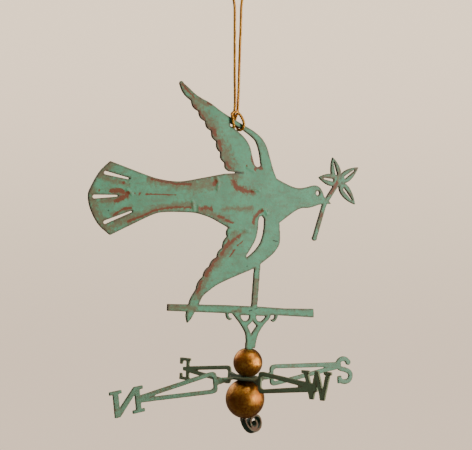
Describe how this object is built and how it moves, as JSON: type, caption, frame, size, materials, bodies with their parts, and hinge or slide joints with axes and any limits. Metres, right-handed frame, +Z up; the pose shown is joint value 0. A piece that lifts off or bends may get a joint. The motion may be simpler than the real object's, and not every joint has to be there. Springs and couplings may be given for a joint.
{
  "type": "hanging dove weather vane ornament",
  "caption": "Small hanging ornament shaped as a dove weather vane: a flat sheet dove with an olive branch over ball beads and a compass rose, hung from a looped cord.",
  "frame": {"origin": "inside top of the cord's loop, where the hook bears; the cord's hitch on the dove's upper wing is straight below", "axes": "+Z up, +X from the dove's tail to its head, Y across the flat plate; the vane's stem leans 3.2 degrees from +Z towards +X as it hangs"},
  "size_m": [0.1265, 0.1125, 0.183],
  "materials": {
    "verdigris": "satin blue-green paint rubbed through to copper",
    "dark_verdigris": "satin dark green paint rubbed through to copper on the edges",
    "antique_gold": "satin mottled antique gold",
    "gold_cord": "shiny twisted metallic thread"
  },
  "bodies": {
    "vane": {"dove_plate": "verdigris", "cord_hitch": "gold_cord", "hanging_cord": "gold_cord"},
    "upper_ball": {"upper_ball": "antique_gold"},
    "compass": {"compass_disc": "dark_verdigris", "compass_arm_n": "dark_verdigris", "compass_arm_e": "dark_verdigris", "compass_arm_s": "dark_verdigris", "compass_arm_w": "dark_verdigris"},
    "lower_ball": {"lower_ball": "antique_gold"}
  },
  "joints": [
    {"name": "upper_ball_spin", "type": "hinge", "parent": "vane", "child": "upper_ball", "pos_m": [0.00962, 0, -0.1588], "axis": [0.0558, 0, 0.9984], "continuous": true},
    {"name": "compass_spin", "type": "hinge", "parent": "vane", "child": "compass", "pos_m": [0.00962, 0, -0.1588], "axis": [0.0558, 0, 0.9984], "continuous": true},
    {"name": "lower_ball_spin", "type": "hinge", "parent": "vane", "child": "lower_ball", "pos_m": [0.00962, 0, -0.1588], "axis": [0.0558, 0, 0.9984], "continuous": true}
  ]
}
